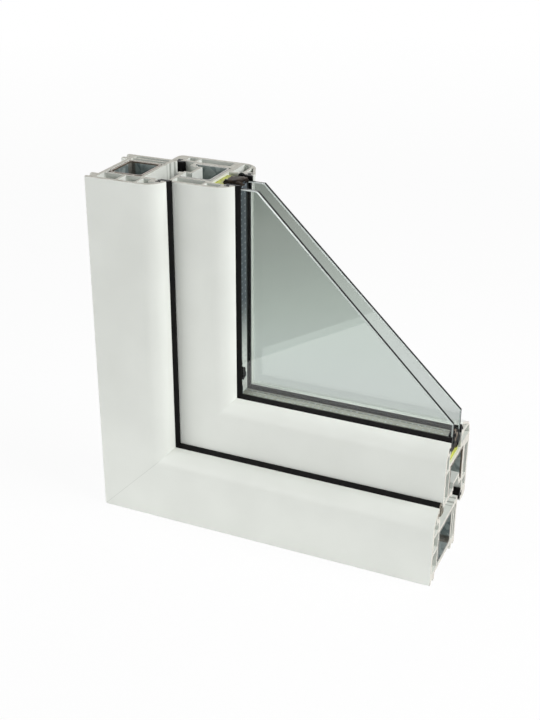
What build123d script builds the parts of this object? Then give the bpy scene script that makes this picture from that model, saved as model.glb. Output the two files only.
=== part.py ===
from build123d import *
import os

os.makedirs("parts", exist_ok=True)

# Cut ends, measured from the lower left outer corner of the frame
frame_jamb_length = 259
frame_rail_length = 258
sash_stile_end = 258
sash_rail_end = 259
glass_top_setback = 3
glass_side_setback = 0.7
seal_setback = 1
block_setback = 1.5
corner_round = 3

# Walls of both profiles
outer_wall = 2.8
rebate_wall = 2.4
web = 1.8
chamber_round = 0.6
edge_round = 0.8

# Frame profile, across from its outer edge and back from its front face
frame_depth = 60
frame_rebate = 37.5
frame_nose = 2
frame_nose_land = 3.4
frame_lip_height = 17
frame_lip_thickness = 12.5
frame_lip_round = 14
frame_groove_inset = 5.5
frame_shoulder = 3
frame_front_chamber = 10.8
frame_first_chamber = 15
frame_second_chamber = 12.5
frame_rear_chamber = 3.4
foot_height = 5
foot_width = 10.5
foot_groove_width = 4.6
foot_groove_depth = 2.2

# Sash profile
hardware_air = 12
seal_gap = 3.5
sash_height = 49.6
sash_edge_setback = 2.8
sash_lip_height = 18.1
sash_lip_thickness = 9.5
sash_lip_round = 14
sash_groove_inset = 5.6
sash_front_chamber = 8
sash_first_chamber = 22
wing_overlap = 18.5
wing_thickness = 12.5
wing_round = 4
wing_groove_inset = 5.5
hardware_groove_axis = 16
hardware_groove_width = 12
hardware_groove_depth = 8
faceplate_width = 16
faceplate_depth = 3
faceplate_nose = 2.5

# Gasket grooves and gaskets
groove_mouth = 2.6
groove_neck = 1.5
groove_head = 4.2
groove_head_depth = 2
gasket_fit = 0.3
frame_gasket_reach = 2
wing_gasket_inset = 2.4
wing_gasket_width = 8.6
glazing_gasket_reach = 2.4
bead_gasket_inset = 1.3

# Steel reinforcement
steel_wall = 1.5
steel_bend = 3
steel_fit = 0.3
steel_gap = 10
steel_rib_height = 0.8
steel_rib_width = 1.2
steel_rib_inset = 6

# Glazing unit
pane_thickness = 4
pane_arris = 0.4
cavity = 14
edge_clearance = 6
glazing_gap = 2.5
outer_pane_top = 115
outer_pane_side = 112.5
outer_pane_corner = 4
inner_pane_top = 112
inner_pane_side = 114.5
sealant_height = 5
spacer_height = 6.8
spacer_wall = 0.6
spacer_shoulder = 2
butyl = 0.4

# Glazing bead and blocks
bead_height = 20
bead_back_height = 9.6
bead_round = 14
bead_edge_round = 2
bead_wall = 1.8
bead_rib = 9
bead_groove_inset = 5
bead_tongue_width = 2.4
bead_tongue_reach = 1.5
bead_seat = 1.5
bead_fit = 0.3
block_length = 100

# Levels shared by the profiles
frame_face = frame_rebate + frame_nose + frame_lip_height
sash_front = frame_lip_thickness + seal_gap
wing_front = frame_depth + seal_gap
sash_rear = wing_front + wing_thickness
sash_edge = frame_rebate + frame_nose + hardware_air
sash_face = sash_edge + sash_height
sash_lip_back = sash_front + sash_lip_thickness
glazing_floor = sash_face - sash_lip_height
glass_edge = glazing_floor + edge_clearance
glass_front = sash_lip_back + glazing_gap
cavity_front = glass_front + pane_thickness
cavity_rear = cavity_front + cavity
glass_rear = cavity_rear + pane_thickness
spacer_base = glass_edge + sealant_height
spacer_top = spacer_base + spacer_height
bead_front = glass_rear + glazing_gap
bead_top = glazing_floor + bead_height
bead_base = glazing_floor - bead_seat

overall_width = max(frame_rail_length, sash_rail_end)
MITRE = Plane((0, 0, 0), x_dir=(0, 1, 0), z_dir=(-1, 0, 1))


def box(u0, v0, u1, v1):
    """Rectangle between two corners of a section."""
    return Pos((u0 + u1) / 2, (v0 + v1) / 2) * Rectangle(u1 - u0, v1 - v0)


def chamber(u0, v0, u1, v1):
    """Hollow between two corners of a section, with the small inner radius of an extrusion."""
    return Pos((u0 + u1) / 2, (v0 + v1) / 2) * RectangleRounded(u1 - u0, v1 - v0, chamber_round)


def shape(*points):
    """Closed straight-sided outline of a section."""
    return make_face(Polyline(*points, close=True))


def ease(section, radius, *points):
    """Rounds the corners of an outline that lie nearest to the points."""
    for point in points:
        section = fillet(section.vertices().sort_by_distance(point)[0], radius)
    return section


def turn_radius(run, rise):
    """Radius of an arc that leaves a flat face and turns away from it by rise over run."""
    return (run**2 + rise**2) / (2 * rise)


def rubber_groove(u, v, way):
    """T-shaped groove for a gasket foot, opening at depth v and going in the way given."""
    inner = v + way * groove_neck
    deep = inner + way * groove_head_depth
    neck = box(u - groove_mouth / 2, min(v, inner), u + groove_mouth / 2, max(v, inner))
    return neck + box(u - groove_head / 2, min(inner, deep), u + groove_head / 2, max(inner, deep))


def rubber_foot(u, v, way):
    """Gasket foot that fills the groove with its fit all round."""
    thin = groove_mouth / 2 - gasket_fit
    wide = groove_head / 2 - gasket_fit
    tip = v + way * (groove_neck + gasket_fit)
    end = v + way * (groove_neck + groove_head_depth - gasket_fit)
    neck = box(u - thin, min(v, tip), u + thin, max(v, tip))
    return neck + box(u - wide, min(tip, end), u + wide, max(tip, end))


def upright(section, end):
    """Left-hand member: section run upward and mitred at the lower corner."""
    return split(extrude(section, amount=end), bisect_by=MITRE, keep=Keep.TOP)


def level(section, end):
    """Lower member: the upright one turned over the mitre."""
    return mirror(upright(section, end), about=MITRE)


def save(part, name):
    """Moves a piece from the corner to the centre of the object's footprint and writes it."""
    export_step(Pos(-overall_width / 2, -sash_rear / 2, 0) * part, f"parts/{name}.step")


# Levels inside the frame profile
steel_room_left = foot_height + outer_wall
steel_room_right = frame_rebate - rebate_wall
steel_room_front = outer_wall + frame_front_chamber + web
steel_room_rear = frame_depth - outer_wall - 2 * (frame_rear_chamber + web)
frame_groove = frame_face - frame_groove_inset


def frame_feet():
    """Outline of the two grooved feet on the outer edge, from the rear corner to the front."""
    points = []
    for rear in (frame_depth, foot_width):
        middle = rear - foot_width / 2
        groove_rear, groove_front = middle + foot_groove_width / 2, middle - foot_groove_width / 2
        points += [(0, rear), (0, groove_rear), (foot_groove_depth, groove_rear)]
        points += [(foot_groove_depth, groove_front), (0, groove_front), (0, rear - foot_width)]
    recess = [(foot_height, frame_depth - foot_width), (foot_height, foot_width)]
    return points[:6] + recess + points[6:]


def frame_nose_steps():
    """Outline of the two steps at the rear of the rebate, from the rebate to the rear face."""
    step = frame_nose / 2
    tip = frame_rebate + frame_nose
    second = frame_depth - frame_nose_land
    first = second - step - frame_nose_land
    return [(frame_rebate, first - step), (frame_rebate + step, first), (frame_rebate + step, second - step),
            (tip, second), (tip, frame_depth)]


def frame_section():
    """Main profile of the frame with its chambers."""
    flat = frame_face - frame_lip_round
    shoulder = frame_groove - groove_head / 2 - web
    shoulder_back = frame_lip_thickness + frame_shoulder
    tip = (frame_face, frame_lip_thickness)
    points = [tip, (shoulder, frame_lip_thickness), (shoulder, shoulder_back), (frame_rebate, shoulder_back)]
    points += frame_nose_steps() + frame_feet() + [(flat, 0)]
    section = make_face(Polyline(*points) + TangentArc((flat, 0), tip, tangent=(1, 0)))
    section = ease(section, edge_round, (0, 0), (0, frame_depth), (frame_rebate + frame_nose, frame_depth), tip)
    section -= rubber_groove(frame_groove, frame_lip_thickness, -1)
    return section - frame_front_hollows() - frame_rear_hollows()


def frame_front_hollows():
    """Two chambers behind the front face and the one that runs out into the lip."""
    rear = outer_wall + frame_front_chamber
    second = steel_room_left + frame_first_chamber + web
    lip = second + frame_second_chamber + web
    hollow = chamber(steel_room_left, outer_wall, second - web, rear)
    hollow += chamber(second, outer_wall, lip - web, rear)
    groove_front = frame_lip_thickness - groove_neck - groove_head_depth - web
    groove_side = frame_groove - groove_head / 2 - 2 * web
    flat = frame_face - frame_lip_round
    radius = turn_radius(frame_lip_round, frame_lip_thickness)
    bend = Pos(flat, radius) * Circle(radius - outer_wall)
    hollow += box(lip, outer_wall, flat, groove_front)
    hollow += box(flat, outer_wall, frame_face, groove_front) & bend
    return hollow + box(lip, groove_front, groove_side, frame_lip_thickness)


def frame_rear_hollows():
    """Steel chamber with its holding ribs and two thin chambers at the rear."""
    hollow = chamber(steel_room_left, steel_room_front, steel_room_right, steel_room_rear)
    half = steel_rib_width / 2
    for v in (steel_room_front + steel_rib_inset, steel_room_rear - steel_rib_inset):
        hollow -= box(steel_room_left, v - half, steel_room_left + steel_rib_height, v + half)
    for u in (steel_room_left + steel_rib_inset, steel_room_right - steel_rib_inset):
        hollow -= box(u - half, steel_room_front, u + half, steel_room_front + steel_rib_height)
    for row in range(2):
        rear = frame_depth - outer_wall - row * (frame_rear_chamber + web)
        hollow += chamber(steel_room_left, rear - frame_rear_chamber, steel_room_right, rear)
    return hollow


def frame_steel_section():
    """Galvanised tube that stands on the ribs of the large chamber."""
    left = steel_room_left + steel_rib_height + steel_fit
    right = steel_room_right - steel_fit
    front = steel_room_front + steel_rib_height + steel_fit
    rear = steel_room_rear - steel_fit
    tube = RectangleRounded(right - left, rear - front, steel_bend)
    tube -= RectangleRounded(right - left - 2 * steel_wall, rear - front - 2 * steel_wall, steel_bend - steel_wall)
    return Pos((left + right) / 2, (front + rear) / 2) * tube


def frame_gasket_section():
    """Seal held in the frame lip, its body resting on the front of the sash."""
    back = frame_lip_thickness
    left = frame_groove - groove_head / 2
    tip = frame_face + frame_gasket_reach
    bevel = seal_gap / 2
    body = shape((left, back), (frame_face, back), (tip, back + bevel), (tip, sash_front),
                 (left + bevel, sash_front), (left, back + bevel))
    return body + rubber_foot(frame_groove, back, -1)


# Levels inside the sash profile
sash_front_left = sash_edge + sash_edge_setback
sash_room_left = sash_front_left + rebate_wall
sash_room_right = glazing_floor - rebate_wall
sash_room_front = sash_front + outer_wall + sash_front_chamber + web
sash_room_rear = wing_front - rebate_wall
groove_axis = wing_front - hardware_groove_axis
groove_rear = groove_axis + hardware_groove_width / 2
groove_front = groove_axis - hardware_groove_width / 2
plate_rear = groove_axis + faceplate_width / 2
plate_front = groove_axis - faceplate_width / 2
wing_tip = sash_edge - wing_overlap
wing_groove = wing_tip + wing_groove_inset
glazing_groove = sash_face - sash_groove_inset
tongue_front = wing_front + web
tongue_rear = tongue_front + bead_tongue_width + 2 * bead_fit
tongue_floor = bead_base - bead_tongue_reach - bead_fit


def hardware_edge():
    """Outline of the sash edge from the wing down past the hardware groove to the front corner."""
    floor = sash_edge + hardware_groove_depth
    step = sash_edge + faceplate_depth
    nose = plate_front - faceplate_nose
    points = [(sash_edge, wing_front), (sash_edge, plate_rear), (step, plate_rear), (step, groove_rear)]
    points += [(floor, groove_rear), (floor, groove_front), (step, groove_front), (step, plate_front)]
    points += [(sash_edge, plate_front), (sash_edge, nose), (sash_front_left, nose - sash_edge_setback)]
    return points + [(sash_front_left, sash_front)]


def sash_section():
    """Main profile of the sash with its chambers."""
    flat = sash_face - sash_lip_round
    tip = (sash_face, sash_lip_back)
    points = [tip, (glazing_floor, sash_lip_back), (glazing_floor, tongue_front)]
    points += [(tongue_floor, tongue_front), (tongue_floor, tongue_rear), (bead_base, tongue_rear)]
    points += [(bead_base, sash_rear), (wing_tip, sash_rear), (wing_tip, wing_front)]
    points += hardware_edge() + [(flat, sash_front)]
    section = make_face(Polyline(*points) + TangentArc((flat, sash_front), tip, tangent=(1, 0)))
    section = ease(section, wing_round, (wing_tip, sash_rear))
    section = ease(section, edge_round, (wing_tip, wing_front), (sash_front_left, sash_front), tip)
    section -= rubber_groove(wing_groove, wing_front, 1)
    section -= rubber_groove(glazing_groove, sash_lip_back, -1)
    return section - sash_hollows()


def sash_hollows():
    """Hollows of the sash profile: two in front, the steel chamber and two at the rear."""
    front = sash_front + outer_wall
    rear = sash_rear - outer_wall
    rib = sash_room_left + sash_first_chamber
    lip_end = glazing_groove - groove_head / 2 - web
    hollow = chamber(sash_room_left, front, rib, front + sash_front_chamber)
    hollow += chamber(rib + web, front, lip_end, sash_lip_back - web)
    hollow += box(sash_room_left, sash_room_front, sash_room_right, sash_room_rear)
    hollow += box(sash_edge + rebate_wall, plate_rear + web, sash_room_left, sash_room_rear)
    hollow -= box(sash_edge, groove_front - web, sash_edge + hardware_groove_depth + web, groove_rear + web)
    hollow += chamber(wing_groove + groove_head / 2 + web, wing_front + outer_wall, sash_edge - web, rear)
    return hollow + chamber(sash_edge, wing_front + web, tongue_floor - web, rear)


def sash_steel_section():
    """Galvanised channel with unequal legs, open toward the hardware groove."""
    right = sash_room_right - steel_fit
    front = sash_room_front + steel_fit
    rear = sash_room_rear - steel_fit
    long_left = sash_edge + rebate_wall + steel_fit
    short_left = sash_room_left + steel_fit
    outline = ease(box(long_left, front, right, rear), steel_bend, (right, front), (right, rear))
    inner = box(sash_edge, front + steel_wall, right - steel_wall, rear - steel_wall)
    inner = ease(inner, steel_bend - steel_wall, (right, front), (right, rear))
    return outline - inner - box(long_left, front, short_left, rear - steel_wall)


def wing_gasket_section():
    """Seal held in the wing of the sash, resting on the rear face of the frame."""
    left = wing_tip + wing_gasket_inset
    right = left + wing_gasket_width
    bevel = seal_gap / 2
    body = shape((left, wing_front), (left, wing_front - bevel), (left + bevel, frame_depth),
                 (right - bevel, frame_depth), (right, frame_depth + bevel), (right, wing_front))
    return body + rubber_foot(wing_groove, wing_front, 1)


def glazing_gasket_section():
    """Seal between the lip of the sash and the outer pane."""
    left = glazing_groove - groove_head / 2
    tip = sash_face + glazing_gasket_reach
    body = shape((left, sash_lip_back), (sash_face, sash_lip_back), (tip, sash_lip_back + glazing_gap / 2),
                 (tip, glass_front), (left, glass_front))
    return body + rubber_foot(glazing_groove, sash_lip_back, -1)


bead_groove = bead_top - bead_groove_inset
bead_foot = bead_base - bead_tongue_reach
bead_back = (glazing_floor + bead_back_height, sash_rear)


def bead_section():
    """Hollow glazing bead with a sloped top, a round back, a tongue and a gasket groove."""
    first = tongue_front + bead_fit
    last = first + bead_tongue_width
    points = [bead_back, (bead_top, bead_front), (glazing_floor, bead_front), (glazing_floor, first)]
    points += [(bead_foot, first), (bead_foot, last), (bead_base, last), (bead_base, sash_rear)]
    section = ease(shape(*points), bead_round, bead_back)
    section = ease(section, bead_edge_round, (bead_top, bead_front))
    return section - rubber_groove(bead_groove, bead_front, 1) - bead_hollows()


def bead_hollows():
    """Two hollows of the bead, parted by a rib and kept clear of the gasket groove."""
    left = glazing_floor + bead_wall
    rib = glazing_floor + bead_rib
    groove_end = bead_front + groove_neck + groove_head_depth + bead_wall
    outline = shape(bead_back, (bead_top, bead_front), (bead_foot, bead_front), (bead_foot, sash_rear))
    hollow = ease(offset(outline, -bead_wall), bead_round - bead_wall, bead_back)
    hollow -= box(bead_foot, bead_front, left, sash_rear)
    hollow -= box(rib, bead_front, rib + bead_wall, sash_rear)
    return hollow - box(rib, bead_front, bead_top, groove_end)


def bead_gasket_section():
    """Seal between the bead and the inner pane."""
    left = bead_groove - groove_head / 2
    tip = bead_top - bead_gasket_inset
    bevel = glazing_gap / 2
    body = shape((left, bead_front), (tip - bevel, bead_front), (tip, bead_front - bevel), (tip, glass_rear),
                 (left, glass_rear))
    return body + rubber_foot(bead_groove, bead_front, 1)


def spacer_section():
    """Thin hollow bar between the panes, its shoulders sloped toward the cavity."""
    front, rear = cavity_front + butyl, cavity_rear - butyl
    top = spacer_top - spacer_shoulder
    outer = shape((spacer_base, front), (top, front), (spacer_top, front + spacer_shoulder),
                  (spacer_top, rear - spacer_shoulder), (top, rear), (spacer_base, rear))
    return outer - offset(outer, -spacer_wall)


def butyl_section(face, way):
    """Soft strip that fills the wedge between one pane and the spacer."""
    inner = face + way * butyl
    return shape((spacer_base, face), (spacer_top, face), (spacer_top, inner + way * spacer_shoulder),
                 (spacer_top - spacer_shoulder, inner), (spacer_base, inner))


def pane(front, top_end, side_end, corner=0):
    """Sheet of glass cut off along a slope, with its arrises taken off."""
    top = sash_stile_end - glass_top_setback
    side = sash_rail_end - glass_side_setback
    outline = shape((glass_edge, glass_edge), (side, glass_edge), (side, side_end), (top_end, top), (glass_edge, top))
    if corner:
        outline = ease(outline, corner, (top_end, top))
    sheet = extrude(Plane((0, front, 0), x_dir=(1, 0, 0), z_dir=(0, -1, 0)) * outline, amount=-pane_thickness)
    return chamfer(sheet.edges().filter_by(Axis.Y, reverse=True), pane_arris)


def weld_round(part):
    """Takes the sharp outer corner off a frame member where the weld is dressed."""
    middle = frame_depth / 2
    blank = Pos(corner_round / 2, middle, corner_round / 2) * Box(corner_round, frame_depth, corner_round)
    rod = Pos(corner_round, middle, corner_round) * Rot(90, 0, 0) * Cylinder(corner_round, frame_depth)
    return part - (blank - rod)


def run_pair(section, stile, rail, stile_name, rail_name):
    """Writes one profile as its upright and its level member."""
    save(upright(section, stile), stile_name)
    save(level(section, rail), rail_name)


def square_pair(section, start, stile, rail, stile_name, rail_name):
    """Writes a bar cut square at both ends in both members, from one start in each."""
    save(Pos(0, 0, start) * extrude(section, amount=stile - start), stile_name)
    lying = Pos(0, 0, start) * extrude(section, amount=rail - start)
    save(mirror(lying, about=MITRE), rail_name)


# Frame
profile = frame_section()
save(weld_round(upright(profile, frame_jamb_length)), "frame_left_jamb")
save(weld_round(level(profile, frame_rail_length)), "frame_bottom_rail")
square_pair(frame_steel_section(), steel_room_right + steel_gap, frame_jamb_length, frame_rail_length,
            "frame_jamb_steel", "frame_rail_steel")
run_pair(frame_gasket_section(), frame_jamb_length, frame_rail_length, "frame_jamb_gasket", "frame_rail_gasket")

# Sash
run_pair(sash_section(), sash_stile_end, sash_rail_end, "sash_left_stile", "sash_bottom_rail")
square_pair(sash_steel_section(), sash_room_right + steel_gap, sash_stile_end, sash_rail_end,
            "sash_stile_steel", "sash_rail_steel")
run_pair(wing_gasket_section(), sash_stile_end, sash_rail_end, "stile_wing_gasket", "rail_wing_gasket")
run_pair(glazing_gasket_section(), sash_stile_end, sash_rail_end, "stile_glazing_gasket", "rail_glazing_gasket")

# Glazing unit
save(pane(glass_front, outer_pane_top, outer_pane_side, outer_pane_corner), "outer_pane")
save(pane(cavity_rear, inner_pane_top, inner_pane_side), "inner_pane")
seal_stile, seal_rail = sash_stile_end - seal_setback, sash_rail_end - seal_setback
run_pair(spacer_section(), seal_stile, seal_rail, "stile_spacer", "rail_spacer")
run_pair(box(glass_edge, cavity_front, spacer_base, cavity_rear), seal_stile, seal_rail,
         "stile_edge_sealant", "rail_edge_sealant")
run_pair(butyl_section(cavity_front, 1), seal_stile, seal_rail, "stile_outer_butyl", "rail_outer_butyl")
run_pair(butyl_section(cavity_rear, -1), seal_stile, seal_rail, "stile_inner_butyl", "rail_inner_butyl")

# Glazing beads and blocks
run_pair(bead_section(), sash_stile_end, sash_rail_end, "stile_glazing_bead", "rail_glazing_bead")
run_pair(bead_gasket_section(), sash_stile_end, sash_rail_end, "stile_bead_gasket", "rail_bead_gasket")
block_stile, block_rail = sash_stile_end - block_setback, sash_rail_end - block_setback
square_pair(box(glazing_floor, glass_front, glass_edge, glass_rear), block_stile - block_length, block_stile,
            block_rail, "stile_glazing_block", "rail_glazing_block")
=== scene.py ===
import math

import bmesh
import bpy
from mathutils import Matrix, Vector, noise
from mathutils.bvhtree import BVHTree


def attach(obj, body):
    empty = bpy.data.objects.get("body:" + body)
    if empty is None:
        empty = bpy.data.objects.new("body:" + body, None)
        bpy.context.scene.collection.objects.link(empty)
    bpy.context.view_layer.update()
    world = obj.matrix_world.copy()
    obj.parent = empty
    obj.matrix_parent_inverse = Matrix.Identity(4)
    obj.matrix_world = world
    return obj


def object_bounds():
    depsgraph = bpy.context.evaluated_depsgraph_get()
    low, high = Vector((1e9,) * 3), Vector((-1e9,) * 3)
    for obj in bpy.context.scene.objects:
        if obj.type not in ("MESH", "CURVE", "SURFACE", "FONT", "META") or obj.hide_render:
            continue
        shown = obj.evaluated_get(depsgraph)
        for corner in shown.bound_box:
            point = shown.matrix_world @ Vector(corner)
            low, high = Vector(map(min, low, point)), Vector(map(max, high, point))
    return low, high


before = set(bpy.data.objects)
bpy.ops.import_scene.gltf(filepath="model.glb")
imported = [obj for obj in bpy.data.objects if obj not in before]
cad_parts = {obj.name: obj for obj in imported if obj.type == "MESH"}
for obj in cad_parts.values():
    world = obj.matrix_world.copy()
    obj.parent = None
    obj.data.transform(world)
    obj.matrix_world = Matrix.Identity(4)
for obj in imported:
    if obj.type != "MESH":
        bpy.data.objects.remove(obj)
cad_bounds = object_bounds()

# View: focal length in pixels of a picture 720 high, angles in degrees, place in metres in the row frame
FOCAL = 1177.6
PICTURE_HEIGHT = 720
SENSOR = 36.0
NEAREST = 0.01
AZIMUTH = 23.86
ELEVATION = 25.63
ROLL = -0.225
CAMERA_AT = (0.29582, -0.68878, 0.49047)

# The frame's outer corner and its front face lie this far from the origin, in metres, as all lengths below
CORNER = 0.1295
FRONT = 0.038

# Sawn ends: height at the top, distance from the frame's left edge at the right, and how squarely they face
TOP_CUT = 0.256
SIDE_CUT = 0.2565
SEAL_CUT = (0.2574, 0.2576)
STEEL_CUT = (0.2577, 0.2582)
FACING = (0.8, 0.95)

# Depths behind the frame's front face; here and below a pair is where a finish starts and ends to change
SEAL_BODY = (0.0172, 0.0176)
OUTER_PANE_FRONT = 0.028
INNER_PANE_FRONT = 0.046
PANE = 0.004
SPACER_MIDDLE = 0.039
# Depth of the painted shade line along the level spacer bar's crease
SPACER_CREASE_SHADE = 0.0412
CORNER_BAND_DEPTH = (0.0405, 0.0415)
# Depths of the painted shade lines in the frame nose's grooves
NOSE_SHADE_DEPTHS = (0.0477, 0.0516, 0.0562)
REAR = (0.056, 0.06)
ROOM_FACE = (0.0752, 0.0758)

# Distances across from the frame's outer edges; the nose face is a band
CORNER_BAND_WIDTH = (0.0132, 0.0144)
NOSE_FACE = (0.0371, 0.0402)
FRAME_EDGE = (0.046, 0.05)
BEAD_SEAM = 0.0815
CLEAR_BORDER = (0.104, 0.1046)

# Heights: level spacer bar's top, painted shade and reflection on the upright, painted glint on pane edges
SPACER_TOP = (0.1009, 0.1014)
SPACER_SHADE = (0.126, 0.174)
PAINTED_GLINT_HEIGHTS = (0.2, 0.24)

# Fine lines and holes: half width of the full line, and where it has faded out
HAIR = 0.0002
WELD_LINE = (0.00012, 0.0004)
SEAM_LINE = (0.0001, 0.0003)
# The next is the width of the painted shade lines in the nose's grooves
GROOVE_SHADE_LINE = (0.0001, 0.0008)
# The next is the width of the painted shade line along the spacer's crease
CREASE_SHADE_LINE = (0.0003, 0.0007)
VENT_HOLE = (0.0004, 0.0008)
VENT_PITCH = 0.0045
VENT_ROW = 0.0026

# Painted reflection as the inner pane's tone, along a height that tilts to the right, times a scale
REFLECTION_TILT = 0.31
REFLECTION_SCALE = 3.0
INNER_REFLECTION_TONES = (
    (0.30, (0.565, 0.605, 0.585, 1)),
    (0.42, (0.555, 0.61, 0.575, 1)),
    (0.505, (0.49, 0.545, 0.50, 1)),
    (0.60, (0.406, 0.45, 0.41, 1)),
    (0.69, (0.346, 0.378, 0.343, 1)),
    (0.76, (0.268, 0.298, 0.268, 1)),
)
PLAIN_GLASS = 1.5
COATED_GLASS = 1.68

# Search for closed chambers: degrees between looks, start off the wall and reach of a look, how far it turns
LOOK_STEP = 15
LOOK_START = 0.0001
LOOK_REACH = 0.2
LOOK_FACING = 0.2

# Lumps: subdivisions, and the swelling of their surface in broad and in fine noise
LUMP_DETAIL = 4
BROAD_NOISE = 1.6
FINE_NOISE = 4.5
FINE_SHARE = 0.6

# Studio light: place, size and power of each lamp
SKY = 0.08
LAMPS = {
    "left": ((-1.36, -1.1, 0.42), 0.8, 16.4),
    "low_front": ((-0.26, -0.98, 0.1), 0.4, 1.2),
    "right": ((1.68, -0.45, 0.59), 1.0, 7.0),
    "right_high": ((1.4, 0.0, 1.22), 1.0, 27.0),
    "back": ((-0.5, 1.6, 0.9), 1.2, 9.0),
}
AIM = (0, 0, 0.12)

# Floor: its half width, then what fades with distance from the part, as distances and values at both
FLOOR_HALF = 6
FLOOR_WHITE = ((0.5, 2.0), (0.94, 1.0))
# Painted pool of light: the floor's colour darkens away from the part
FLOOR_LIGHT_POOL = ((0.3, 0.9), (0.94, 0.4))

# Dark sheet that only mirrored rays meet: a point on its edge, a step along the edge and both ends in steps
DARK_POINT = (-0.132, -0.256)
DARK_STEP = (-0.062, 0.115)
DARK_ENDS = (3.0, -12.0)
DARK_LIFT = 0.001
DARK_WAY = (-0.88, -0.475, 0)
DARK_WIDTH = 2.5


def rgb(red, green, blue):
    """Colour written in the steps of a picture, as the shader takes it."""
    steps = (c / 255 for c in (red, green, blue))
    return (*(c / 12.92 if c <= 0.04045 else ((c + 0.055) / 1.055) ** 2.4 for c in steps), 1)


class Finish:
    """Procedural material with short calls for its nodes."""

    def __init__(self, name, roughness, metallic=0.0):
        self.material = bpy.data.materials.new(name)
        self.material.use_nodes = True
        self.nodes = self.material.node_tree.nodes
        self.links = self.material.node_tree.links
        self.shader = self.nodes["Principled BSDF"]
        self.give("Roughness", roughness)
        self.give("Metallic", metallic)
        self.place = self.nodes.new("ShaderNodeTexCoord").outputs["Object"]
        self.x, y, self.height = self.parts(self.place)
        self.side = self.plus(self.x, CORNER)
        self.depth = self.plus(y, FRONT)

    def put(self, socket, value):
        """Links a socket to another one, or writes a plain value on it."""
        if isinstance(value, bpy.types.NodeSocket):
            self.links.new(value, socket)
        else:
            socket.default_value = value

    def give(self, name, value):
        """Sets one of the shader's own sockets."""
        self.put(self.shader.inputs[name], value)

    def parts(self, vector):
        """The three parts of a vector."""
        node = self.nodes.new("ShaderNodeSeparateXYZ")
        self.put(node.inputs[0], vector)
        return node.outputs[0], node.outputs[1], node.outputs[2]

    def normal(self):
        """The three parts of the surface's direction."""
        return self.parts(self.nodes.new("ShaderNodeNewGeometry").outputs["Normal"])

    def math(self, operation, first, second=0.0):
        """One arithmetic step."""
        node = self.nodes.new("ShaderNodeMath")
        node.operation = operation
        self.put(node.inputs[0], first)
        self.put(node.inputs[1], second)
        return node.outputs[0]

    def plus(self, first, second):
        return self.math("ADD", first, second)

    def minus(self, first, second):
        return self.math("SUBTRACT", first, second)

    def times(self, first, second):
        return self.math("MULTIPLY", first, second)

    def larger(self, first, second):
        return self.math("MAXIMUM", first, second)

    def across(self):
        """Distance from the frame's outer edges, in either member."""
        return self.math("MINIMUM", self.side, self.height)

    def along(self):
        """Distance from the outer corner along either member."""
        return self.larger(self.side, self.height)

    def rise(self, value, low, high):
        """Goes from 0 at low to 1 at high, smoothly."""
        node = self.nodes.new("ShaderNodeMapRange")
        node.interpolation_type = "SMOOTHSTEP"
        self.put(node.inputs["Value"], value)
        node.inputs["From Min"].default_value = low
        node.inputs["From Max"].default_value = high
        return node.outputs["Result"]

    def fall(self, value, low, high):
        """Goes from 1 at low to 0 at high, smoothly."""
        return self.minus(1.0, self.rise(value, low, high))

    def stripe(self, value, middle, line):
        """1 along a line through the middle, with soft edges."""
        return self.fall(self.math("ABSOLUTE", self.minus(value, middle)), *line)

    def fade(self, value, distances, results):
        """Goes evenly from one result to another between two distances."""
        node = self.nodes.new("ShaderNodeMapRange")
        self.put(node.inputs["Value"], value)
        node.inputs["From Min"].default_value, node.inputs["From Max"].default_value = distances
        node.inputs["To Min"].default_value, node.inputs["To Max"].default_value = results
        return node.outputs["Result"]

    def cloud(self, scale, detail, stretch=(1, 1, 1)):
        """Noise between 0 and 1, at so many features a metre."""
        shift = self.nodes.new("ShaderNodeMapping")
        shift.inputs["Scale"].default_value = stretch
        self.put(shift.inputs["Vector"], self.place)
        node = self.nodes.new("ShaderNodeTexNoise")
        node.inputs["Scale"].default_value = scale
        node.inputs["Detail"].default_value = detail
        self.put(node.inputs["Vector"], shift.outputs["Vector"])
        return node.outputs["Fac"]

    def cells(self, scale):
        """Flat cells of random level between 0 and 1."""
        node = self.nodes.new("ShaderNodeTexVoronoi")
        node.inputs["Scale"].default_value = scale
        self.put(node.inputs["Vector"], self.place)
        return self.parts(node.outputs["Color"])[0]

    def ramp(self, value, *stops):
        """Colours at given places along a value."""
        node = self.nodes.new("ShaderNodeValToRGB")
        self.put(node.inputs["Fac"], value)
        band = node.color_ramp.elements
        while len(band) < len(stops):
            band.new(0.5)
        for element, (position, colour) in zip(band, stops):
            element.position = position
            element.color = colour
        return node.outputs["Color"]

    def mix(self, share, first, second):
        """First colour where the share is 0, second where it is 1."""
        node = self.nodes.new("ShaderNodeMix")
        node.data_type = "RGBA"
        self.put(node.inputs["Factor"], share)
        self.put(node.inputs[6], first)
        self.put(node.inputs[7], second)
        return node.outputs[2]

    def relief(self, height, strength, distance=0.0003):
        """Small bumps from a height between 0 and 1."""
        node = self.nodes.new("ShaderNodeBump")
        node.inputs["Strength"].default_value = strength
        node.inputs["Distance"].default_value = distance
        self.put(node.inputs["Height"], height)
        self.give("Normal", node.outputs["Normal"])

    def blend(self, share, first, second):
        """Shows the first shader where the share is 0 and the second where it is 1."""
        node = self.nodes.new("ShaderNodeMixShader")
        self.put(node.inputs[0], share)
        self.put(node.inputs[1], first.outputs[0])
        self.put(node.inputs[2], second.outputs[0])
        self.put(self.nodes["Material Output"].inputs["Surface"], node.outputs[0])


def sawn_ends(t):
    """1 on the sawn end at the top, and 1 on the one at the right."""
    right, _, up = t.normal()
    top = t.times(t.rise(up, *FACING), t.rise(t.height, TOP_CUT, TOP_CUT + HAIR))
    side = t.times(t.rise(right, *FACING), t.rise(t.side, SIDE_CUT, SIDE_CUT + HAIR))
    return top, side


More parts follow.
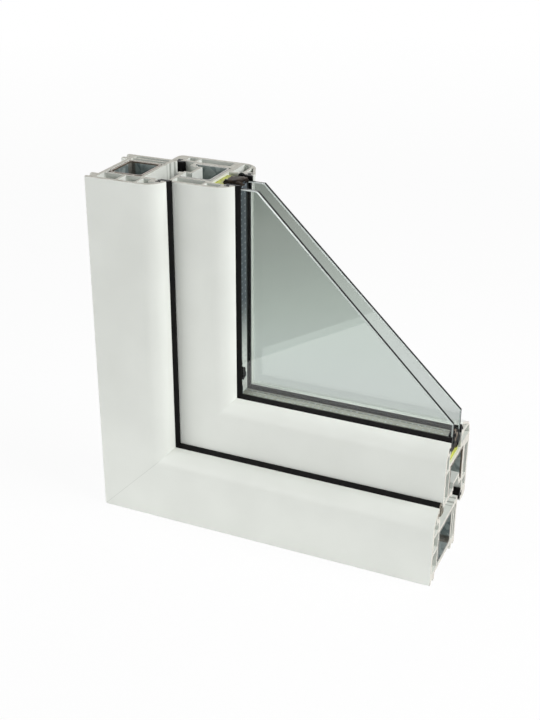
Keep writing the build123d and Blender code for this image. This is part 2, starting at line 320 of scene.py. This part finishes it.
def weld_line(t):
    """1 along the mitre, on the frame and at the rear of sash and bead."""
    line = t.stripe(t.minus(t.side, t.height), 0.0, WELD_LINE)
    return t.times(line, t.larger(t.fall(t.across(), *FRAME_EDGE), t.rise(t.depth, *REAR)))


def bead_seam(t):
    """1 along the joint between bead and sash on the room face."""
    return t.times(t.stripe(t.across(), BEAD_SEAM, SEAM_LINE), t.rise(t.depth, *ROOM_FACE))


def nose_groove_shade(t):
    """1 along painted shade lines in the fine grooves of the frame's stepped nose."""
    lines = 0.0
    for depth in NOSE_SHADE_DEPTHS:
        lines = t.larger(lines, t.stripe(t.depth, depth, GROOVE_SHADE_LINE))
    low, high = NOSE_FACE
    on_face = t.times(t.rise(t.across(), low - HAIR, low), t.fall(t.across(), high, high + HAIR))
    return t.times(lines, on_face)


def pvc_finish():
    """White PVC: satin faces with weld lines, seams and painted groove shade, and sawn ends that are dull
    and warmer.
    """
    satin, dull = 0.34, 0.89
    t = Finish("white_pvc", satin)
    top, side = sawn_ends(t)
    end = t.larger(top, side)
    saw = t.cloud(1, 3, (60, 1500, 60))
    colour = t.ramp(t.cloud(22, 2), (0.35, rgb(223, 226, 220)), (0.65, rgb(228, 231, 225)))
    colour = t.mix(side, colour, t.ramp(saw, (0.3, rgb(190, 187, 178)), (0.7, rgb(213, 210, 202))))
    colour = t.mix(top, colour, t.ramp(saw, (0.3, rgb(198, 196, 186)), (0.7, rgb(217, 215, 206))))
    dirt = t.times(t.rise(t.cloud(260, 4), 0.52, 0.72), 0.4)
    colour = t.mix(t.times(top, dirt), colour, rgb(132, 122, 104))
    colour = t.mix(t.times(weld_line(t), 0.4), colour, rgb(176, 180, 172))
    seam_and_groove_shade = rgb(104, 106, 100)
    colour = t.mix(bead_seam(t), colour, seam_and_groove_shade)
    # Painted shade along the nose's grooves, in the same dark as the bead's seam
    groove_shade_share = t.times(nose_groove_shade(t), t.minus(1.0, end))
    t.give("Base Color", t.mix(t.times(groove_shade_share, 0.5), colour, seam_and_groove_shade))
    t.give("Roughness", t.plus(t.times(end, dull - satin), satin))
    grain = t.cloud(650, 2)
    t.relief(t.plus(t.times(grain, 0.12), t.times(saw, end)), 0.22)
    return t.material


def shaded_hollow_finish():
    """Inside of the chambers: duller, warmer and mottled, and darker than the faces as painted shade."""
    t = Finish("pvc_chamber", 0.5)
    mottle = t.cloud(1, 3, (700, 700, 700))
    # Darker than the faces: painted shade inside the closed chambers
    t.give("Base Color", t.ramp(mottle, (0.3, rgb(180, 178, 168)), (0.7, rgb(204, 203, 194))))
    t.relief(t.cloud(500, 2), 0.1)
    return t.material


def rubber_finish():
    """Black seals with a dull bloom; the frame seal's cut end is pale."""
    t = Finish("black_rubber", 0.55)
    t.give("Specular IOR Level", 0.1)
    body = t.ramp(t.cloud(160, 4), (0.35, rgb(5, 5, 5)), (0.75, rgb(17, 16, 15)))
    cut = t.times(t.rise(t.side, *SEAL_CUT), t.fall(t.depth, *SEAL_BODY))
    t.give("Base Color", t.mix(cut, body, rgb(138, 131, 120)))
    t.relief(t.cloud(900, 3), 0.15)
    return t.material


def soft_finish(name, dark, light, roughness):
    """Butyl, edge sealant and frayed rubber: mottled between two colours, and lumpy."""
    t = Finish(name, roughness)
    t.give("Specular IOR Level", 0.06)
    t.give("Base Color", t.ramp(t.cloud(260, 5), (0.35, dark), (0.7, light)))
    t.relief(t.cloud(420, 4), 0.5, 0.0006)
    return t.material


def steel_finish():
    """Galvanised steel: spangle, rusty cut edges and a brown band in the frame tube's outer rear corner."""
    t = Finish("galvanised_steel", 0.45, 0.4)
    spangle = t.plus(t.times(t.cells(210), 0.5), t.times(t.cloud(90, 4), 0.5))
    zinc = t.ramp(spangle, (0.25, rgb(118, 130, 130)), (0.75, rgb(176, 186, 184)))
    rust = t.ramp(t.cloud(420, 4), (0.3, rgb(58, 48, 39)), (0.7, rgb(122, 108, 92)))
    edge = t.rise(t.along(), *STEEL_CUT)
    # Brown band along the frame tube's outer rear corner
    corner_band = t.times(t.fall(t.across(), *CORNER_BAND_WIDTH), t.rise(t.depth, *CORNER_BAND_DEPTH))
    t.give("Base Color", t.mix(t.larger(edge, t.times(corner_band, 0.7)), zinc, rust))
    t.relief(t.cloud(700, 2), 0.1)
    return t.material


def vent_holes(t):
    """1 in the two lines of small holes along the spacer bars."""
    cell = t.times(t.minus(t.math("FRACT", t.math("DIVIDE", t.along(), VENT_PITCH)), 0.5), VENT_PITCH)
    row = t.minus(t.math("ABSOLUTE", t.minus(t.depth, SPACER_MIDDLE)), VENT_ROW)
    reach = t.math("SQRT", t.plus(t.times(cell, cell), t.times(row, row)))
    return t.fall(reach, *VENT_HOLE)


def spacer_finish():
    """Mill aluminium with vent holes; painted shade and reflection give each bar its tone, painted shade a
    crease.
    """
    t = Finish("aluminium_spacer", 0.42, 0.3)
    holes = vent_holes(t)
    streak = t.cloud(1, 4, (300, 900, 300))
    # Painted shade high on the upright bar and painted reflection low down
    dark = t.ramp(streak, (0.3, rgb(44, 54, 60)), (0.7, rgb(66, 76, 82)))
    light = t.ramp(streak, (0.3, rgb(184, 189, 183)), (0.7, rgb(207, 210, 205)))
    upright = t.mix(t.rise(t.height, *SPACER_SHADE), light, dark)
    # The level bar's own lighter tone stands for the light it faces; its crease gets painted shade
    level = t.ramp(streak, (0.3, rgb(106, 109, 98)), (0.7, rgb(132, 134, 123)))
    level = t.mix(t.stripe(t.depth, SPACER_CREASE_SHADE, CREASE_SHADE_LINE), level, rgb(40, 43, 38))
    body = t.mix(t.rise(t.height, *SPACER_TOP), level, upright)
    t.give("Base Color", t.mix(t.times(holes, 0.8), body, rgb(142, 154, 160)))
    t.relief(t.minus(1.0, holes), 0.3, 0.0004)
    return t.material


def block_finish():
    """Yellow-green plastic with dusty patches."""
    t = Finish("glazing_block", 0.5)
    t.give("Base Color", t.ramp(t.cloud(300, 4), (0.3, rgb(142, 146, 18)), (0.7, rgb(196, 202, 56))))
    t.relief(t.cloud(800, 3), 0.2)
    return t.material


def glass_finish(name, bend, *stops):
    """Float glass, faintly smudged and clear along its border; the stops give its tone from low to high, a
    painted reflection on the inner pane.
    """
    t = Finish(name, 0.0)
    t.give("Transmission Weight", 1.0)
    t.give("IOR", bend)
    tilted = t.minus(t.height, t.times(t.x, REFLECTION_TILT))
    # Tone along a tilted height: a painted reflection where the stops vary
    reflection_tone = t.ramp(t.times(tilted, REFLECTION_SCALE), *stops)
    inside = t.rise(t.across(), *CLEAR_BORDER)
    colour = t.mix(inside, rgb(250, 252, 251), reflection_tone)
    smudge = t.rise(t.cloud(45, 5), 0.52, 0.75)
    t.give("Base Color", t.mix(t.times(smudge, 0.03), colour, rgb(206, 210, 208)))
    return t.material


def pane_edge_finish(name, front, painted_glint):
    """Cut edge of a pane: painted highlight at the front, painted shade at the back, and a painted glint
    high up.
    """
    t = Finish(name, 0.3)
    t.give("Specular IOR Level", 0.12)
    share = t.math("DIVIDE", t.minus(t.depth, front), PANE)
    share = t.plus(share, t.times(t.minus(t.cloud(120, 3), 0.5), 0.12))
    right, _, up = t.normal()
    slope = t.rise(t.times(right, up), 0.15, 0.25)
    # Painted glint: the edges grow lighter higher up, on the slope and on the square edges alike
    high = t.rise(t.height, *PAINTED_GLINT_HEIGHTS)
    sloped = t.mix(t.rise(share, 0.28, 0.38), t.mix(high, rgb(184, 192, 188), painted_glint), rgb(6, 9, 8))
    pale_glint = t.mix(high, rgb(142, 152, 148), rgb(200, 208, 205))
    square = t.mix(t.rise(share, 0.3, 0.4), pale_glint, rgb(34, 40, 38))
    t.give("Base Color", t.mix(slope, square, sloped))
    return t.material


def dress(material, *words):
    """Gives a material to each CAD node whose name holds one of the words."""
    for name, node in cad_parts.items():
        if any(word in name for word in words):
            node.data.materials.clear()
            node.data.materials.append(material)


def dress_pane(name, glass, edge):
    """Gives a pane its glass on both faces and its edge finish all round."""
    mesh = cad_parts[name].data
    mesh.materials.clear()
    mesh.materials.append(glass)
    mesh.materials.append(edge)
    for polygon in mesh.polygons:
        polygon.material_index = 0 if abs(polygon.normal.y) > FACING[0] else 1
    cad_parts[name].visible_shadow = False


def dress_shaded_hollows(material):
    """Gives the closed chambers of the white profiles their own finish, darker as painted shade."""
    turns = [math.radians(a) for a in range(0, 360, LOOK_STEP)]
    for name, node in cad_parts.items():
        mesh = node.data
        if mesh.materials[0].name != "white_pvc":
            continue
        mesh.materials.append(material)
        points = [v.co for v in mesh.vertices]
        tree = BVHTree.FromPolygons(points, [tuple(p.vertices) for p in mesh.polygons])
        if "rail" in name:
            ways = [Vector((0, math.cos(a), math.sin(a))) for a in turns]
        else:
            ways = [Vector((math.cos(a), math.sin(a), 0)) for a in turns]
        for polygon in mesh.polygons:
            start = polygon.center + polygon.normal * LOOK_START
            looks = [w for w in ways if w.dot(polygon.normal) > LOOK_FACING]
            closed = looks and all(tree.ray_cast(start, w, LOOK_REACH)[0] for w in looks)
            polygon.material_index = 1 if closed else 0


def spot(x, depth, z):
    """Point given in millimetres from the frame's outer corner and front face."""
    return Vector((x / 1000 - CORNER, depth / 1000 - FRONT, z / 1000))


def add_lump(mesh, centre, half, seed, rough=0.3, square=0.7):
    """Adds one irregular rounded lump to a mesh under construction, sizes in millimetres."""
    start = spot(*centre)
    for vert in bmesh.ops.create_icosphere(mesh, subdivisions=LUMP_DETAIL, radius=1)["verts"]:
        point = vert.co.copy()
        swell = 1 + rough * noise.noise(point * BROAD_NOISE + Vector((seed, 0, 0)))
        swell += rough * FINE_SHARE * noise.noise(point * FINE_NOISE + Vector((0, seed, 0)))
        squared = [math.copysign(abs(c) ** square, c) for c in point]
        vert.co = start + Vector([s * h * swell / 1000 for s, h in zip(squared, half)])
        vert.co.x = min(vert.co.x, cad_bounds[1][0])
        vert.co.z = min(vert.co.z, cad_bounds[1][2])


def finish_piece(name, mesh, material):
    """Turns a finished mesh into a piece of the part."""
    data = bpy.data.meshes.new(name)
    mesh.to_mesh(data)
    mesh.free()
    data.materials.append(material)
    for polygon in data.polygons:
        polygon.use_smooth = True
    piece = bpy.data.objects.new(name, data)
    bpy.context.scene.collection.objects.link(piece)
    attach(piece, "root")


def make_lumps(name, material, slot, *lumps):
    """One piece made of lumps: centre, half sizes and seed of each, then how rough and how square it is."""
    mesh = bmesh.new()
    for lump in lumps:
        add_lump(mesh, *lump)
    finish_piece(name, mesh, material)


def make_sealant_smears(sealant, butyl):
    """Edge sealant and butyl pressed out at the two cut ends of the glazing unit."""
    make_lumps("sealant_smear_top", sealant, "edge_sealant",
               ((94.5, 39, 256.6), (6.6, 7.4, 2.0), 3),
               ((91.5, 34.5, 257.2), (3.4, 2.6, 1.4), 8),
               ((98.2, 43, 256.8), (3.2, 3.4, 1.6), 12),
               ((99.0, 34.0, 256.4), (2.6, 2.2, 1.6), 21))
    make_lumps("sealant_smear_side", butyl, "butyl",
               ((256.7, 40.5, 97.0), (2.0, 8.4, 5.4), 5),
               ((256.8, 36, 101.8), (1.9, 4.0, 3.2), 9),
               ((256.8, 48.0, 91.0), (1.8, 4.4, 4.8), 14),
               ((256.8, 33.8, 95.6), (1.8, 2.4, 3.6), 27))
    dusty = soft_finish("dusty_sealant", rgb(84, 70, 58), rgb(168, 158, 146), 0.7)
    make_lumps("sealant_bits_side", dusty, "edge_sealant",
               ((258.0, 36.5, 103.6), (0.8, 1.8, 1.2), 31),
               ((258.2, 40.5, 99.0), (0.7, 1.5, 1.9), 33),
               ((258.2, 37.8, 97.0), (0.7, 0.9, 1.4), 36))


def make_drops(butyl):
    """Butyl that has crept along the panes, the frame seal's cut end and a drop by the bead's seal."""
    smooth = 0.08
    make_lumps("butyl_drops", butyl, "butyl",
               ((101.4, 33.4, 118.4), (3.1, 1.2, 5.0), 2),
               ((100.6, 33.2, 106.5), (1.4, 0.9, 6.0), 6),
               ((100.9, 33.2, 125.5), (0.9, 0.8, 2.6), 17),
               ((176.6, 44.6, 100.9), (2.4, 0.9, 1.0), 11),
               ((126, 45.1, 101.3), (25, 0.8, 1.5), 23, smooth),
               ((170, 45.1, 101.2), (28, 0.8, 1.4), 25, smooth),
               ((213, 45.1, 101.1), (24, 0.8, 1.3), 28, smooth),
               ((243, 45.1, 101.0), (13, 0.8, 1.2), 30, smooth),
               ((209.7, 44.6, 100.9), (1.8, 0.9, 0.9), 19))
    frayed = soft_finish("frayed_rubber", rgb(90, 86, 78), rgb(150, 146, 134), 0.8)
    make_lumps("rail_seal_cut_end", frayed, "black_rubber",
               ((257.9, 16.0, 52.6), (1.1, 3.4, 3.7), 41, 0.1, 0.45))
    make_lumps("bead_seal_drop", butyl, "butyl",
               ((93.4, 50.8, 257.2), (2.0, 1.5, 1.6), 4))


def dress_glazing():
    """Panes: the outer one nearly clear, the inner one more mirroring, as a coated pane is, and toned with a
    painted reflection.
    """
    outer = glass_finish("outer_glass", PLAIN_GLASS, (0.0, rgb(249, 252, 250)), (1.0, rgb(248, 252, 250)))
    inner = glass_finish("inner_glass", COATED_GLASS, *INNER_REFLECTION_TONES)
    # Last argument: colour of each edge's painted glint
    outer_edge = pane_edge_finish("outer_pane_edge", OUTER_PANE_FRONT, rgb(222, 229, 226))
    inner_edge = pane_edge_finish("inner_pane_edge", INNER_PANE_FRONT, rgb(176, 184, 180))
    dress_pane("outer_pane", outer, outer_edge)
    dress_pane("inner_pane", inner, inner_edge)


def dress_part():
    """Finishes of all CAD nodes, later words going over earlier ones, and the small added pieces."""
    dress(pvc_finish(), "jamb", "rail", "stile")
    dress(rubber_finish(), "gasket")
    butyl = soft_finish("butyl", rgb(4, 7, 5), rgb(11, 15, 13), 0.5)
    dress(butyl, "butyl")
    dress(steel_finish(), "steel")
    dress(spacer_finish(), "spacer")
    sealant = soft_finish("edge_sealant", rgb(20, 16, 13), rgb(62, 52, 42), 0.55)
    dress(sealant, "sealant")
    dress(block_finish(), "block")
    dress_shaded_hollows(shaded_hollow_finish())
    dress_glazing()
    make_sealant_smears(sealant, butyl)
    make_drops(butyl)


def make_camera():
    """Camera at the photograph's viewing angle."""
    az, el, roll = (math.radians(a) for a in (AZIMUTH, ELEVATION, ROLL))
    back = Vector((math.sin(az) * math.cos(el), -math.cos(az) * math.cos(el), math.sin(el)))
    right = (-back).cross(Vector((0, 0, 1))).normalized()
    down = (-back).cross(right)
    x_axis = math.cos(roll) * right + math.sin(roll) * down
    y_axis = math.sin(roll) * right - math.cos(roll) * down
    data = bpy.data.cameras.new("camera")
    data.sensor_fit = "VERTICAL"
    data.sensor_height = SENSOR
    data.lens = FOCAL / PICTURE_HEIGHT * SENSOR
    data.clip_start = NEAREST
    camera = bpy.data.objects.new("camera", data)
    turn = Matrix((x_axis, y_axis, back)).transposed().to_4x4()
    camera.matrix_world = Matrix.Translation(CAMERA_AT) @ turn
    bpy.context.scene.collection.objects.link(camera)
    bpy.context.scene.camera = camera


def area_light(name, place, size, power):
    """Soft square lamp aimed at the middle of the part."""
    data = bpy.data.lights.new(name, "AREA")
    data.size = size
    data.energy = power
    lamp = bpy.data.objects.new(name, data)
    lamp.location = place
    lamp.rotation_euler = (Vector(AIM) - Vector(place)).to_track_quat("-Z", "Y").to_euler()
    bpy.context.scene.collection.objects.link(lamp)


def seen_rays(nodes, links):
    """1 for rays that show the background: straight, mirrored or through glass."""
    path = nodes.new("ShaderNodeLightPath")
    total = path.outputs["Is Camera Ray"]
    for kind in ("Is Glossy Ray", "Is Transmission Ray"):
        node = nodes.new("ShaderNodeMath")
        node.operation = "MAXIMUM"
        links.new(total, node.inputs[0])
        links.new(path.outputs[kind], node.inputs[1])
        total = node.outputs[0]
    return total


def floor_material():
    """Pale floor, darker further off as a painted pool of light, that shows as white and keeps a share of
    the part's shadow.
    """
    t = Finish("floor", 0.9)
    away = t.nodes.new("ShaderNodeVectorMath")
    away.operation = "LENGTH"
    t.put(away.inputs[0], t.place)
    # Painted pool of light around the part
    t.give("Base Color", t.fade(away.outputs["Value"], *FLOOR_LIGHT_POOL))
    glow = t.nodes.new("ShaderNodeEmission")
    glow.inputs["Color"].default_value = (1, 1, 1, 1)
    glow.inputs["Strength"].default_value = 1.0
    white = t.fade(away.outputs["Value"], *FLOOR_WHITE)
    t.blend(t.times(seen_rays(t.nodes, t.links), white), t.shader, glow)
    return t.material


def room_material():
    """Near black, there only for rays that a pane has mirrored."""
    t = Finish("room", 1.0)
    t.give("Base Color", (0.02, 0.02, 0.02, 1))
    bounces = t.nodes.new("ShaderNodeLightPath").outputs["Glossy Depth"]
    mirrored = t.math("GREATER_THAN", bounces, 0.5)
    t.blend(mirrored, t.nodes.new("ShaderNodeBsdfTransparent"), t.shader)
    return t.material


def stage_sheet(name, points, material):
    """Flat sheet of the set, not part of the object."""
    data = bpy.data.meshes.new(name)
    data.from_pydata(points, [], [tuple(range(len(points)))])
    data.materials.append(material)
    sheet = bpy.data.objects.new(name, data)
    bpy.context.scene.collection.objects.link(sheet)
    return sheet


def make_floor():
    """Level floor under the part."""
    corners = ((-1, -1), (1, -1), (1, 1), (-1, 1))
    stage_sheet("floor", [(x * FLOOR_HALF, y * FLOOR_HALF, 0) for x, y in corners], floor_material())


def make_room():
    """Dark sheet in front of the part, whose straight edge the panes mirror."""
    edge = []
    for end in DARK_ENDS:
        x, y = (start + step * end for start, step in zip(DARK_POINT, DARK_STEP))
        edge.append(Vector((x, y, DARK_LIFT)))
    away = Vector(DARK_WAY) * DARK_WIDTH
    room = stage_sheet("room", [edge[0], edge[1], edge[1] + away, edge[0] + away], room_material())
    room.visible_camera = False
    room.visible_diffuse = False
    room.visible_shadow = False


def make_sky():
    """White surroundings that light the part only softly."""
    world = bpy.data.worlds.new("world")
    bpy.context.scene.world = world
    world.use_nodes = True
    nodes, links = world.node_tree.nodes, world.node_tree.links
    sky = nodes["Background"]
    sky.inputs["Color"].default_value = (1, 1, 1, 1)
    strength = nodes.new("ShaderNodeMapRange")
    strength.inputs["To Min"].default_value = SKY
    strength.inputs["To Max"].default_value = 1.0
    links.new(seen_rays(nodes, links), strength.inputs["Value"])
    links.new(strength.outputs["Result"], sky.inputs["Strength"])


def make_stage():
    """Floor, surroundings, lamps and what the panes mirror."""
    make_floor()
    make_sky()
    for name, lamp in LAMPS.items():
        area_light(name, *lamp)
    make_room()


dress_part()
make_camera()
make_stage()
bpy.context.scene.view_settings.view_transform = "Standard"
